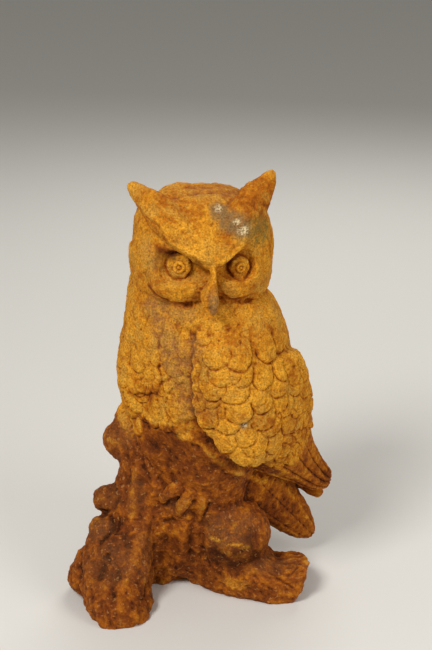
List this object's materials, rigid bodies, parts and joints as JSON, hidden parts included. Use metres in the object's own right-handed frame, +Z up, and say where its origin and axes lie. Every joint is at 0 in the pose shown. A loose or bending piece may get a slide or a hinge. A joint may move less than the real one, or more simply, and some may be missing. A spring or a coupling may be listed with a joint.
{
  "type": "cast iron owl figure",
  "caption": "Rust-covered cast iron owl with ear tufts, folded scaled wings and a tail, perched on a gnarled tree stump with spreading roots.",
  "frame": {"origin": "on the ground under the middle of the bounding box", "axes": "+Z up, -Y towards the front of the stump, +X to the viewer's right, where the tail and the broken root point"},
  "size_m": [0.2434, 0.1782, 0.394],
  "materials": {
    "rusted_cast_iron": "dry brown orange rust, matt and pitted"
  },
  "bodies": {
    "root": {"cast_iron_owl": "rusted_cast_iron"}
  },
  "joints": []
}
